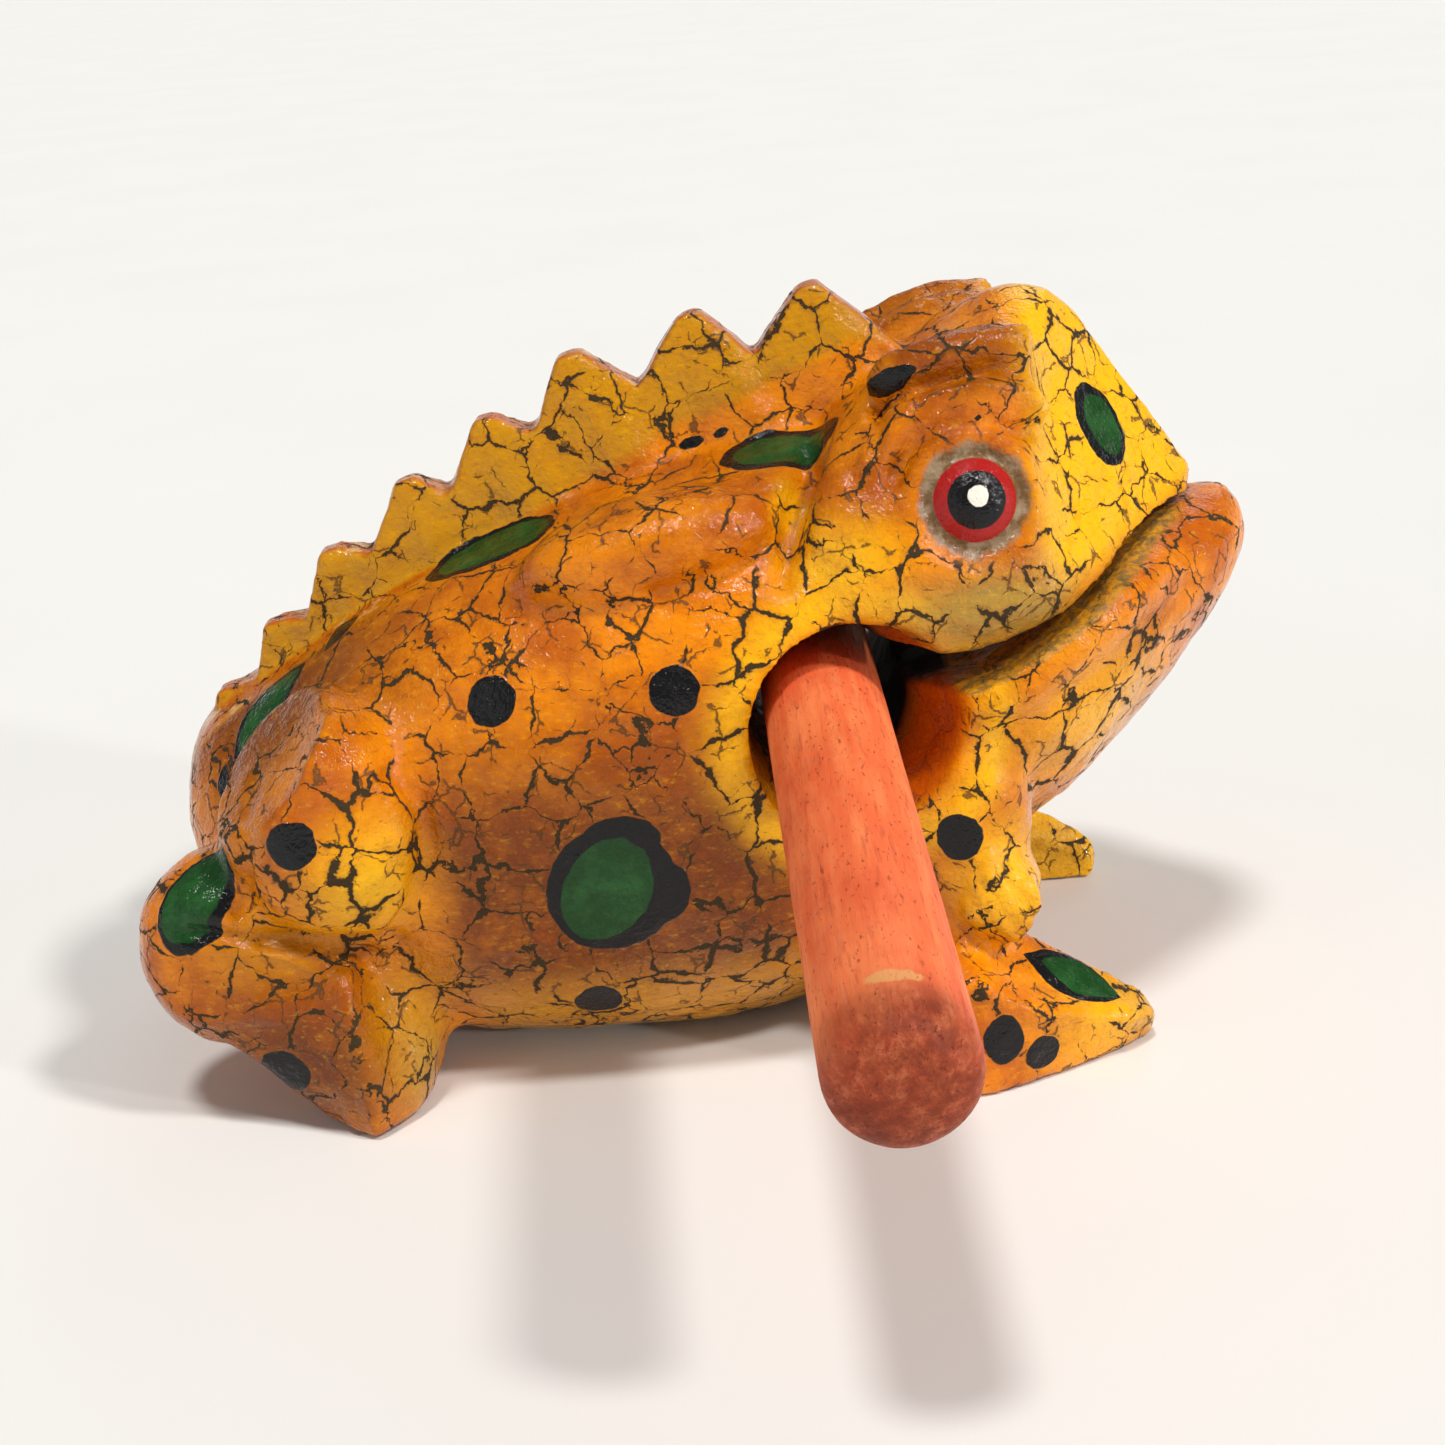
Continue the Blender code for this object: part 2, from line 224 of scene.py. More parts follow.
# Knife flats: a point on the flat, its outward normal, the centre and reach of the cut
FLATS = {
    "snout": ((45.6, 0.0, 47.6), (0.656, 0.586, 0.476), (38.0, 8.0, 52.0), 17.0),
    "thigh_back": ((-30.5, 22.0, 35.0), (-0.62, 0.30, 0.72), (-36.0, 19.0, 33.0), 14.0),
    "thigh_front": ((-28.5, 25.6, 27.0), (0.30, 0.93, 0.20), (-28.0, 24.0, 27.0), 12.0),
    "thigh_foot": ((-34.0, 26.0, 20.0), (-0.15, 0.90, -0.40), (-34.0, 24.0, 20.0), 9.0),
    "shank_out": ((-39.0, 24.6, 14.0), (-0.30, 0.93, 0.20), (-39.0, 23.0, 13.0), 10.0),
    "wrist_out": ((26.0, 22.2, 15.6), (0.30, 0.90, 0.30), (26.0, 21.0, 15.5), 5.0),
    "wrist_front": ((28.6, 20.0, 15.6), (0.95, 0.25, 0.15), (28.0, 19.0, 15.5), 5.0),
}

# The sawn mouth and the bore, as the CAD cuts them
MOUTH_FLOOR = (
    (12.0, 31.8), (17.0, 33.0), (24.5, 35.0), (27.0, 36.3), (30.5, 38.4), (34.2, 40.6),
    (37.3, 42.7), (41.0, 44.3), (45.0, 45.2), (56.0, 46.2),
)
MOUTH_ROOF = (
    (12.0, 35.4), (17.0, 37.4), (20.0, 38.0), (23.5, 37.9), (27.7, 38.9), (32.5, 40.9),
    (37.5, 44.2), (42.0, 45.8), (45.2, 46.4),
)
BORE_AXIS = (14.2, 32.0)
BORE_RIM = 9.5
CRISP_REACH = (1.7, 0.5)  # distances from a crisp edge between which its crispness starts


def crispness(points):
    """1 on the sawn lips of the mouth and the bore's rim, which keep their edges."""
    side_view = points[:, [0, 2]]
    lips = np.minimum(line_distance(side_view, MOUTH_FLOOR), line_distance(side_view, MOUTH_ROOF))
    rim = np.abs(np.linalg.norm(side_view - BORE_AXIS, axis=1) - BORE_RIM)
    return rise(np.minimum(lips, rim), *CRISP_REACH)


def carve_flats(points):
    """Cuts each flat: what stands proud of it inside its reach goes back to it."""
    side = np.sign(points[:, 1])
    folded = points * (1, 0, 1) + np.abs(points) * (0, 1, 0)
    for place, normal, centre, reach in FLATS.values():
        normal = unit(normal)
        proud = (folded - place) @ normal
        inside = ease(FLAT_EDGE * (1 - np.linalg.norm(folded - centre, axis=1) / reach))
        folded -= (np.clip(proud, 0, None) * inside)[:, None] * normal
    folded[:, 1] *= np.where(side == 0, 1, side)
    return folded


def carve_lines(points, normals):
    """Raises and cuts the side lines along the skin's own normals."""
    side_view = points[:, [0, 2]]
    lift = np.zeros(len(points))
    facing = rise(np.abs(normals[:, 1]), *LINE_FACING)
    for path, width, height, least in SIDE_LINES.values():
        reach = np.exp(-(line_distance(side_view, path) / width) ** 2)
        outer = rise(np.abs(points[:, 1]), least, least + LINE_FADE)
        lift += height * reach * outer * facing
    return points + lift[:, None] * normals


def wrist_chatter(points):
    """The rows of small knife marks across each wrist block."""
    from_wrist = points[:, [0, 2]] - WRIST
    near = rise(np.linalg.norm(from_wrist, axis=1), *WRIST_FADE)
    rows = np.sin(from_wrist @ WRIST_GRAIN * 2 * math.pi / WRIST_PITCH)
    return WRIST_DEPTH * rows * near * rise(np.abs(points[:, 1]), *WRIST_START)


def eye_radius(points, side):
    """Distance of each point from one eye's axis, and how far it lies out along that axis."""
    centre = np.array(EYE_CENTRE) * (1, side, 1)
    axis = EYE_AXIS * (1, side, 1)
    offset = points - centre
    out = offset @ axis
    return np.linalg.norm(offset - out[:, None] * axis, axis=1), out


def carve_eyes(points):
    """Turns each eye into a dome inside a sunk ring."""
    for side in (-1, 1):
        radius, out = eye_radius(points, side)
        near = (np.abs(out) < EYE_REACH) & (radius < EYE_FADE)
        dome = np.sqrt(np.clip(EYE_DOME_R ** 2 - radius ** 2, 0, None)) - EYE_DOME_DROP
        groove = math.sqrt(EYE_DOME_R ** 2 - EYE_EDGE ** 2) - EYE_DOME_DROP - EYE_GROOVE
        bank = groove + EYE_BANK[0] * ease((radius - EYE_EDGE) / EYE_BANK[1])
        height = np.where(radius < EYE_EDGE, dome, bank)
        share = np.where(near, rise(radius, EYE_FADE, EYE_RING), 0)
        points = points + (share * (height - out))[:, None] * (EYE_AXIS * (1, side, 1))
    return points


def knife_marks(points):
    """How far the knife left each point proud of a smooth skin. The eyes are left smooth."""
    marks = sum(depth * wobble(points, size, seed) for depth, size, seed in KNIFE_MARKS)
    from_eye = np.minimum(*(eye_radius(points, side)[0] for side in (-1, 1)))
    return marks * rise(from_eye, *EYE_CALM) + wrist_chatter(points)


def make_skin():
    """The frog's fine skin, from the CAD body."""
    piece = bpy.data.objects.new("frog_skin", frame["nodes"]["frog_body"].data.copy())
    bpy.context.collection.objects.link(piece)
    remesh = piece.modifiers.new("fine_skin", "REMESH")
    remesh.mode = "VOXEL"
    remesh.voxel_size = SKIN_VOXEL * MM
    applied(piece)
    mesh = piece.data
    edges = read_edges(mesh)
    points = read_points(mesh)
    points = relax(points, edges, TAUBIN, FIRST_PASSES, CRISP_HOLD * crispness(points))
    points = carve_flats(points)
    write_points(mesh, points)
    points = carve_lines(points, read_normals(mesh))
    points = carve_eyes(points)
    points = relax(points, edges, TAUBIN, LAST_PASSES, CRISP_HOLD * crispness(points))
    write_points(mesh, points)
    points = points + knife_marks(points)[:, None] * read_normals(mesh)
    points[:, 2] = np.maximum(points[:, 2], 0.0)
    low, high = (np.array(corner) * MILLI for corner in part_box("frog_body"))
    write_points(mesh, np.clip(points, low, high))
    mesh.shade_smooth()
    return piece


# Paint shapes on the frog's right side ---------------------------------------------------------
# Paint, a place near the middle of the spot, direction of its long axis, half length, half width and
# whether its ends are pointed
SPOTS = (
    ("black", (-16.5, -20.0, 36.6), (1, 0, 0), 2.15, 2.15, False),
    ("black", (-1.2, -21.5, 37.3), (1, 0, 0), 2.1, 2.1, False),
    ("black", (21.8, -20.2, 21.7), (0, 0, 1), 2.1, 2.0, False),
    ("black", (-9.7, -18.2, 7.8), (1, 0, 0), 2.1, 2.2, False),
    ("black", (-33.0, -27.0, 27.8), (1, 0, 0), 2.05, 2.05, False),
    ("black", (-36.4, -23.0, 6.3), (1, -1, -0.6), 2.3, 2.0, False),
    ("black", (28.3, -24.2, 2.9), (1, 0, 0.2), 1.7, 1.6, False),
    ("black", (24.6, -25.0, 4.9), (0, 0, 1), 2.3, 1.8, False),
    ("black", (18.5, -11.5, 59.3), (4.0, -3.5, 2.6), 3.0, 1.1, True),
    ("black", (-5.5, -10.0, 50.6), (4.0, 3.4, 0), 2.7, 1.3, True),
    ("black", (-30.3, -5.5, 39.1), (2.8, 2.4, 2.7), 2.4, 1.2, True),
    ("black", (-42.8, -12.0, 28.6), (0.5, 0, -1), 2.0, 0.8, True),
    ("black", (1.5, -4.0, 53.5), (1, 0, 0.3), 1.1, 0.5, False),
    ("black", (4.1, -4.5, 54.4), (1, 0, 0.3), 0.8, 0.4, False),
    ("black", (24.9, -17.0, 56.6), (1, 0, 0), 0.38, 0.35, False),
    # the big spot on the flank: its black ground in three blobs, and its green
    ("black", (-7.7, -22.6, 20.2), (0.25, 0, 1), 6.1, 5.5, False),
    ("black", (-3.9, -22.4, 19.6), (0.1, 0, 1), 3.2, 2.9, False),
    ("black", (-6.8, -22.6, 24.6), (1, 0, 0.1), 3.4, 2.2, False),
    ("green", (-8.0, -22.6, 19.8), (0.45, 0, 1), 5.0, 3.7, False),
    # leaves along the back
    ("black", (-16.6, -6.3, 46.0), (11.8, -1.7, 4.7), 6.4, 2.9, False),
    ("green", (-16.2, -6.3, 46.1), (11.8, -1.7, 4.7), 5.4, 2.4, False),
    ("black", (8.8, -7.6, 53.4), (8.6, -0.5, 2.3), 5.2, 2.9, False),
    ("green", (8.8, -7.8, 53.2), (8.6, -0.5, 2.3), 4.0, 2.1, False),
    ("black", (-37.3, -8.3, 33.7), (6.6, 3.7, 6.5), 5.4, 2.3, True),
    ("green", (-37.4, -8.3, 33.6), (6.6, 3.7, 6.5), 4.6, 1.8, True),
    ("black", (-42.4, -22.6, 22.5), (0.6, 0.3, 1), 4.8, 2.9, False),
    ("green", (-42.8, -22.2, 22.7), (0.6, 0.3, 1), 4.2, 2.3, False),
    ("black", (36.6, -5.6, 52.9), (1.8, -2.8, -5.5), 3.9, 2.9, False),
    ("green", (36.9, -5.3, 52.9), (1.8, -2.8, -5.5), 2.9, 2.1, False),
    ("black", (31.8, -18.9, 7.5), (8.4, -0.6, -3.7), 4.9, 2.5, True),
    ("green", (32.4, -18.6, 7.3), (8.4, -0.6, -3.7), 4.0, 1.8, True),
)
# The left side has the same spots, each a little off its twin's place. Every group of a black ground and
# its green is shifted as one, by LEFT_SHIFT, in a direction that turns from spot to spot.
LEFT_SHIFT = 1.3
LEFT_TURN = (2.1, 3.3)
LEFT_FOOT_SHIFT = (1.0, 3.0)  # how far forward and out the left front foot stands
FRONT_FOOT = (20.0, 12.0)  # spots further forward and lower than this are on a front foot
SPOT_DEPTH = 4.0  # a spot only marks skin this close to its own plane
FAR_AWAY = 9.0  # the distance that is stored where no spot or eye is near

# The line where the fin's olive paint starts, in x and z
FIN_FOOT = ((-46.0, 27.0), (-16.0, 45.6), (0.0, 53.6), (16.0, 60.0))

# The white dot on each eye: its place in x and z from the eye's middle, and its radius
GLINT = (0.15, 0.75, 0.82)
GLINT_REACH = 3.0  # the dot is looked for this close to the eye's axis
EYE_DEPTH = 5.0  # eye paint only marks skin this close to the eye's centre, along its axis


def both_sides(spots):
    """The right side's spots, and their twins on the left."""
    for k, (paint, place, along, long_half, wide_half, pointed) in enumerate(spots):
        yield paint, place, along, long_half, wide_half, pointed
        group = k if paint == "black" else k - 1
        x, y, z = place
        if x > FRONT_FOOT[0] and z < FRONT_FOOT[1]:
            shifted = (x + LEFT_FOOT_SHIFT[0], LEFT_FOOT_SHIFT[1] - y, z)
        else:
            forward = LEFT_SHIFT * math.sin(LEFT_TURN[0] * group)
            up = LEFT_SHIFT * math.cos(LEFT_TURN[1] * group)
            shifted = (x + forward, -y, z + up)
        yield paint, shifted, (along[0], -along[1], along[2]), long_half, wide_half, pointed


def spot_distance(points, normals, place, along, long_half, wide_half, pointed):
    """Signed distance to one painted shape, negative inside."""
    nearest = np.argmin(np.linalg.norm(points - place, axis=1))
    centre, outward = points[nearest], unit(normals[nearest])
    along = unit(along - (np.array(along) @ outward) * outward)
    across = np.cross(outward, along)
    offset = points - centre
    u = np.abs(offset @ along) / long_half
    v = np.abs(offset @ across) / wide_half
    size = v + u ** 2 if pointed else np.hypot(u, v)
    distance = np.minimum((size - 1) * wide_half, FAR_AWAY)
    return np.where(np.abs(offset @ outward) < SPOT_DEPTH, distance, FAR_AWAY)


def falloff(points, centre, reach):
    """1 at a centre and 0 past its reach, mirrored on both sides."""
    folded = points * (1, 0, 1) + np.abs(points) * (0, 1, 0)
    return 1 - ease(np.linalg.norm((folded - centre) / reach, axis=1))


def store(mesh, name, values):
    attribute = mesh.attributes.new(name, "FLOAT", "POINT")
    attribute.data.foreach_set("value", np.asarray(values, np.float32))


def store_spots(mesh, points, normals):
    distances = {"black": np.full(len(points), FAR_AWAY), "green": np.full(len(points), FAR_AWAY)}
    for paint, *shape in both_sides(SPOTS):
        distances[paint] = np.minimum(distances[paint], spot_distance(points, normals, *shape))
    store(mesh, "black_spot", distances["black"])
    store(mesh, "green_spot", distances["green"])


def store_eyes(mesh, points):
    radius = np.full(len(points), FAR_AWAY)
    glint = np.full(len(points), FAR_AWAY)
    for side in (-1, 1):
        from_axis, out = eye_radius(points, side)
        from_axis = np.where(np.abs(out) < EYE_DEPTH, from_axis, FAR_AWAY)
        radius = np.minimum(radius, from_axis)
        shift = (points - np.array(EYE_CENTRE) * (1, side, 1))[:, [0, 2]] - GLINT[:2]
        from_glint = np.linalg.norm(shift, axis=1) - GLINT[2]
        glint = np.where(from_axis < GLINT_REACH, np.minimum(glint, from_glint), glint)
    store(mesh, "eye_radius", radius)
    store(mesh, "eye_glint", glint)


# Round patches of each paint, some of them painted shade, and of wide cracks: middle, reach and strength.
# They are mirrored.
PATCHES = {
    "yellow": (
        ((-27.0, 26.0, 23.0), (9.0, 9.0, 10.0), 1.0),
        ((13.0, 20.0, 46.0), (9.0, 9.0, 6.0), 1.0),
        ((9.6, 15.0, 50.0), (2.6, 6.0, 4.0), 1.0),
        ((26.0, 21.0, 18.0), (9.0, 9.0, 9.0), 1.0),
        ((34.0, 14.0, 30.0), (14.0, 15.0, 12.0), 0.8),
        ((36.0, 20.0, 4.0), (14.0, 12.0, 9.0), 0.8),
    ),
    "olive": (
        # painted shade: the rear foot's face is given darker olive than its pale paint
        ((-25.0, 22.0, 9.0), (8.0, 9.0, 10.0), 0.9),
        ((-36.0, 25.0, 18.0), (12.0, 9.0, 6.0), 0.6),
    ),
    "brown": (
        # partly painted shade: brown over the shank and the rear foot's face
        ((-34.0, 24.0, 7.0), (20.0, 13.0, 15.0), 1.0),
    ),
    "pale": (
        ((-25.0, 21.0, 4.0), (4.5, 7.5, 7.0), 0.8),
        ((25.5, 21.0, 41.5), (13.0, 9.0, 6.0), 1.3),
        ((36.0, 16.0, 3.0), (7.0, 6.0, 5.0), 0.6),
    ),
    "wide_cracks": (
        ((16.0, 22.0, 34.0), (22.0, 12.0, 22.0), 1.0),
        ((-28.0, 25.0, 24.0), (11.0, 9.0, 12.0), 0.9),
        ((2.0, 22.0, 14.0), (14.0, 12.0, 14.0), 0.9),
        ((34.0, 16.0, 28.0), (12.0, 12.0, 12.0), 1.2),
    ),
}
THIGH = ((-29.0, 24.0, 30.0), (13.0, 12.0, 16.0))  # middle and reach of the thigh, which isn't brown
PALE_RIM = (11.2, 2.0, 0.9)  # the rubbed ring round the bore: radius, half width and strength
FIN_FRONT = 20.0


def store_share(mesh, points, name, *others):
    """Stores the strongest of a paint's patches and of the other shares given, from 0 to 1."""
    patches = [share * falloff(points, centre, reach) for centre, reach, share in PATCHES[name]]
    store(mesh, name, np.clip(np.max((*others, *patches), axis=0), 0, 1))


def store_paints(mesh, points, normals):
    """Where the brush left each paint, with painted shade and light worked into some of the shares, where
    the fin's crest is, and where cracks are wide.
    """
    x, y, z = points.T
    away = np.abs(y)
    snout = rise(x, 27.5, 31.5) * rise(z - 0.3 * (x - 40), 43, 47)
    from_bore = np.linalg.norm(points[:, [0, 2]] - BORE_AXIS, axis=1)
    bore_rim = PALE_RIM[2] * np.exp(-((from_bore - PALE_RIM[0]) / PALE_RIM[1]) ** 2) * rise(away, 14, 18)
    # painted light: the left front foot, which the body shades, gets extra yellow that the right one lacks
    left_foot_painted_light = rise(y, 8, 12) * rise(x, 26, 30) * rise(z, 14, 10)
    store_share(mesh, points, "yellow", snout, bore_rim, left_foot_painted_light)

    fin = rise(away, 6.0, 4.8) * rise(z - np.interp(x, *zip(*FIN_FOOT)), 0, 2) * (x < FIN_FRONT)
    store(mesh, "fin_edge", fin * rise(np.abs(normals[:, 1]), 0.70, 0.25))
    flank_foot = 0.8 * rise(z, 14, 7) * rise(x, -24, -18) * rise(x, 18, 12)
    store_share(mesh, points, "olive", fin, flank_foot)

    rump = 0.9 * rise(x, -14, -36) * rise(z, 20, 34) * (1 - falloff(points, *THIGH))
    # partly painted shade: the brown on the lower flank is made deeper than the paint alone
    flank = 0.9 * rise(z, 41, 23) * rise(z, 5, 13) * rise(x, 13, 4) * rise(x, -25, -19)
    back = 0.2 * rise(away, 3, 7) * rise(z, 44, 50) * (x < 24)
    brow = 0.55 * rise(z, 57.5, 59.5) * rise(away, 4, 8) * (x < 30)
    store_share(mesh, points, "brown", rump, flank, back, brow)

    underside = 0.8 * rise(z, 5, 0) * rise(away, 18, 12) * (x < 20)
    store_share(mesh, points, "pale", underside)
    store_share(mesh, points, "wide_cracks")


def store_cuts(mesh, points, normals):
    """Where the mouth is bare sawn wood, where the bore's inside is painted near-black as shade, and where
    its scooped wall is painted a darker orange as shade.
    """
    x, away = points[:, 0], np.abs(points[:, 1])
    side_view = points[:, [0, 2]]
    on_floor = rise(line_distance(side_view, MOUTH_FLOOR), 0.85, 0.35) * (normals[:, 2] > 0.6)
    on_roof = rise(line_distance(side_view, MOUTH_ROOF), 0.85, 0.35) * (normals[:, 2] < -0.6)
    store(mesh, "sawn_wood", np.maximum(on_floor, on_roof) * (x > 17) * rise(x, 44.5, 42.5))
    from_bore = np.linalg.norm(side_view - BORE_AXIS, axis=1)
    in_bore = rise(from_bore, BORE_RIM - 0.7, BORE_RIM - 1.5)
    scooped = rise(x, 15.0, 17.0) * rise(away, 11.5, 14.5)
    # painted shade: near-black paint deep inside the bore
    store(mesh, "bore_shade", in_bore * (1 - scooped) * (away < 22))
    # painted shade: a darker orange on the bore's scooped wall
    store(mesh, "scoop_shade", in_bore * scooped)


def paint_distances(mesh):
    """Stores where each painted shape and each colour zone lies on the skin."""
    points, normals = read_points(mesh), read_normals(mesh)
    store_spots(mesh, points, normals)
    store_eyes(mesh, points)
    store_paints(mesh, points, normals)
    store_cuts(mesh, points, normals)


# Node helpers ---------------------------------------------------------------------------------
class Shader:
    """Adds nodes to one material and joins them up."""

    def __init__(self, name):
        self.material = bpy.data.materials.new(name)
        self.material.use_nodes = True
        self.tree = self.material.node_tree
        self.bsdf = self.tree.nodes["Principled BSDF"]

    def join(self, value, socket):
        if isinstance(value, bpy.types.NodeSocket):
            self.tree.links.new(value, socket)
        else:
            socket.default_value = value

    def math(self, operation, a, b=0.0, clamp=False):
        node = self.tree.nodes.new("ShaderNodeMath")
        node.operation, node.use_clamp = operation, clamp
        self.join(a, node.inputs[0])
        self.join(b, node.inputs[1])
        return node.outputs[0]

    def step(self, value, low, high, to_low=0.0, to_high=1.0):
        """A smooth step: to_low where value is under low, to_high where it is over high."""
        node = self.tree.nodes.new("ShaderNodeMapRange")
        node.interpolation_type = "SMOOTHSTEP"
        for socket, setting in zip(node.inputs, (value, low, high, to_low, to_high)):
            self.join(setting, socket)
        return node.outputs[0]

    def inside(self, distance, edge=0.0, soft=0.05):
        """1 where distance is under edge, 0 where it is over it."""
        return self.step(distance, edge - soft, edge + soft, 1.0, 0.0)

    def mix(self, share, a, b):
        """A colour from a to b."""
        node = self.tree.nodes.new("ShaderNodeMix")
        node.data_type = "RGBA"
        self.join(share, node.inputs["Factor"])
        self.join(a if isinstance(a, bpy.types.NodeSocket) else (*a, 1.0), node.inputs[6])
        self.join(b if isinstance(b, bpy.types.NodeSocket) else (*b, 1.0), node.inputs[7])
        return node.outputs[2]

    def vector_math(self, operation, *values):
        node = self.tree.nodes.new("ShaderNodeVectorMath")
        node.operation = operation
        for value, socket in zip(values, node.inputs):
            self.join(value, socket)
        return node.outputs[0]

    def noise(self, place, size, detail=2.0, roughness=0.5, colour=False):
        node = self.tree.nodes.new("ShaderNodeTexNoise")
        self.join(place, node.inputs["Vector"])
        node.inputs["Scale"].default_value = 1.0 / size
        node.inputs["Detail"].default_value = detail
        node.inputs["Roughness"].default_value = roughness
        return node.outputs["Color" if colour else "Fac"]

    def edge_distance(self, place, size):
        """Distance to the nearest border between cells of the given size."""
        node = self.tree.nodes.new("ShaderNodeTexVoronoi")
        node.feature = "DISTANCE_TO_EDGE"
        self.join(place, node.inputs["Vector"])
        node.inputs["Scale"].default_value = 1.0 / size
        return self.math("MULTIPLY", node.outputs["Distance"], size)

    def place_mm(self, stretch=(1, 1, 1)):
        """The piece's own coordinates in millimetres."""
        coordinates = self.tree.nodes.new("ShaderNodeTexCoord").outputs["Object"]
        return self.vector_math("MULTIPLY", coordinates, [MILLI * s for s in stretch])

    def warp(self, place, size, amount, detail=1.0, roughness=0.5):
        """place moved about by noise, by about amount millimetres."""
        drift = self.noise(place, size, detail, roughness, colour=True)
        centred = self.vector_math("SUBTRACT", drift, (0.5, 0.5, 0.5))
        return self.vector_math("MULTIPLY_ADD", centred, (2 * amount,) * 3, place)

    def stored(self, name):
        """A value that is stored on the skin."""
        node = self.tree.nodes.new("ShaderNodeAttribute")
        node.attribute_name = name
        return node.outputs["Fac"]

    def bump(self, height, depth_mm, below=None):
        node = self.tree.nodes.new("ShaderNodeBump")
        node.inputs["Strength"].default_value = 1.0
        node.inputs["Distance"].default_value = depth_mm * MM
        self.join(height, node.inputs["Height"])
        if below is not None:
            self.join(below, node.inputs["Normal"])
        return node.outputs[0]


# The frog's paints, among them painted shade
AMBER = (0.84, 0.250, 0.002)
AMBER_DEEP = (0.50, 0.105, 0.002)
YELLOW = (0.93, 0.48, 0.006)
# BROWN is also the painted shade on the lower flank and round the rear foot
BROWN = (0.155, 0.031, 0.001)
PALE = (0.40, 0.24, 0.04)
OLIVE = (0.56, 0.250, 0.004)
# pale rubs on the fin's crest: partly wear, partly painted highlight
RUB_AND_HIGHLIGHT = (0.72, 0.50, 0.20)
CRACK = (0.038, 0.021, 0.004)
HAIRLINE = (0.075, 0.032, 0.004)
HALO = (0.26, 0.080, 0.005)
SAWN = (0.17, 0.115, 0.028)
# painted shade: near-black inside the bore
BORE_SHADE = (0.010, 0.007, 0.005)
# painted shade: a darker orange than the amber outside, on the bore's scooped wall
SCOOP_SHADE = (0.48, 0.080, 0.003)
BLACK = (0.006, 0.006, 0.007)
GREEN = (0.006, 0.050, 0.008)
GREEN_PALE = (0.016, 0.090, 0.018)
EYE_RED = (0.40, 0.012, 0.010)
EYE_GREY = (0.27, 0.22, 0.14)
EYE_DIRT = (0.11, 0.075, 0.03)
EYE_WHITE = (0.85, 0.82, 0.72)

# Sizes of the paint's details
EYE_RED_R = 3.41
EYE_BLACK_R = 2.39
CELL_BROAD = 4.6  # the usual distance between broad cracks, and then between fine ones
CELL_FINE = 2.7
HALF_BROAD = 0.15  # half widths of cracks, and what a broad one has more where cracks are wide
HALF_WIDER = 0.16
HALF_FINE = 0.080
LUMPS = (1.3, 0.20)  # grain size and depth of the varnish's lumps, and then of its crinkles
CRINKLES = (0.42, 0.13)
PAINT_DEPTH = 0.10  # how far cracks go in and spots stand out, in the shading
VARNISH_ROUGHNESS = (0.05, 0.10)
VARNISH_SPECULAR = 0.30


def cracks(shader, place, size, half, patch):
    """A network of ragged paint cracks: how deep in a crack each point is, and how close to one."""
    warped = shader.warp(place, size * 0.50, size * 0.26, 4.0, 0.58)
    width = shader.math("ADD", shader.math("MULTIPLY", half, patch), 0.002)
    share = shader.math("DIVIDE", shader.edge_distance(warped, size), width)
    return shader.step(share, 0.7, 1.3, 1.0, 0.0), shader.step(share, 1.0, 3.4, 1.0, 0.0)


def brushed_paint(s, place, cloud, grain, patch):
    """Uneven amber with the brushed zones, which carry some painted shade and light, the crest of the fin
    with pale rubs that are partly painted highlight, and a fine grain over it.
    """
    drift = s.noise(place, 8.0, 3.0, 0.6)
    colour = s.mix(s.step(drift, 0.36, 0.66), AMBER, AMBER_DEEP)
    unevenness = s.math("MULTIPLY", s.math("SUBTRACT", cloud, 0.5), 1.2)
    # the brown, olive and yellow shares carry some painted shade and light along with the brush's paints
    for name, paint in (("brown", BROWN), ("yellow", YELLOW), ("olive", OLIVE), ("pale", PALE)):
        share = s.math("MULTIPLY", s.stored(name), s.math("ADD", 1.0, unevenness), clamp=True)
        colour = s.mix(share, colour, paint)
    colour = s.mix(s.step(cloud, 0.52, 0.80, 0.0, 0.45), colour, AMBER_DEEP)
    crest = s.math("MULTIPLY", s.stored("fin_edge"), s.step(cloud, 0.30, 0.55, 0.4, 1.0))
    colour = s.mix(crest, colour, AMBER_DEEP)
    # pale rubs on the fin's crest, partly wear and partly painted highlight
    rub_and_highlight = s.math("MULTIPLY", s.stored("fin_edge"), s.step(patch, 0.56, 0.66, 0.0, 0.7))
    colour = s.mix(rub_and_highlight, colour, RUB_AND_HIGHLIGHT)
    colour = s.mix(s.step(grain, 0.54, 0.78, 0.0, 0.40), colour, BROWN)
    return s.mix(s.step(grain, 0.46, 0.26, 0.0, 0.25), colour, YELLOW)


def crackled(s, colour, place, patch, crackable):
    """The colour with its broad and fine cracks, and how deep in a crack each point is."""
    other_patch = s.noise(s.place_mm((1.0, 1.0, 0.8)), 2.3, 3.0, 0.6)
    broad_half = s.math("ADD", s.math("MULTIPLY", s.stored("wide_cracks"), HALF_WIDER), HALF_BROAD)
    broad, near_broad = cracks(s, place, CELL_BROAD, broad_half, s.step(patch, 0.39, 0.64))
    fine, near_fine = cracks(s, place, CELL_FINE, HALF_FINE, s.step(other_patch, 0.50, 0.62))
    broad = s.math("MULTIPLY", broad, crackable)
    fine = s.math("MULTIPLY", fine, crackable)
    near = s.math("MULTIPLY", s.math("MAXIMUM", near_broad, near_fine), crackable)
    colour = s.mix(s.math("MULTIPLY", near, 0.30), colour, HALO)
    colour = s.mix(s.math("MULTIPLY", fine, 0.75), colour, HAIRLINE)
    colour = s.mix(broad, colour, CRACK)
    return colour, s.math("MAXIMUM", broad, s.math("MULTIPLY", fine, 0.6))


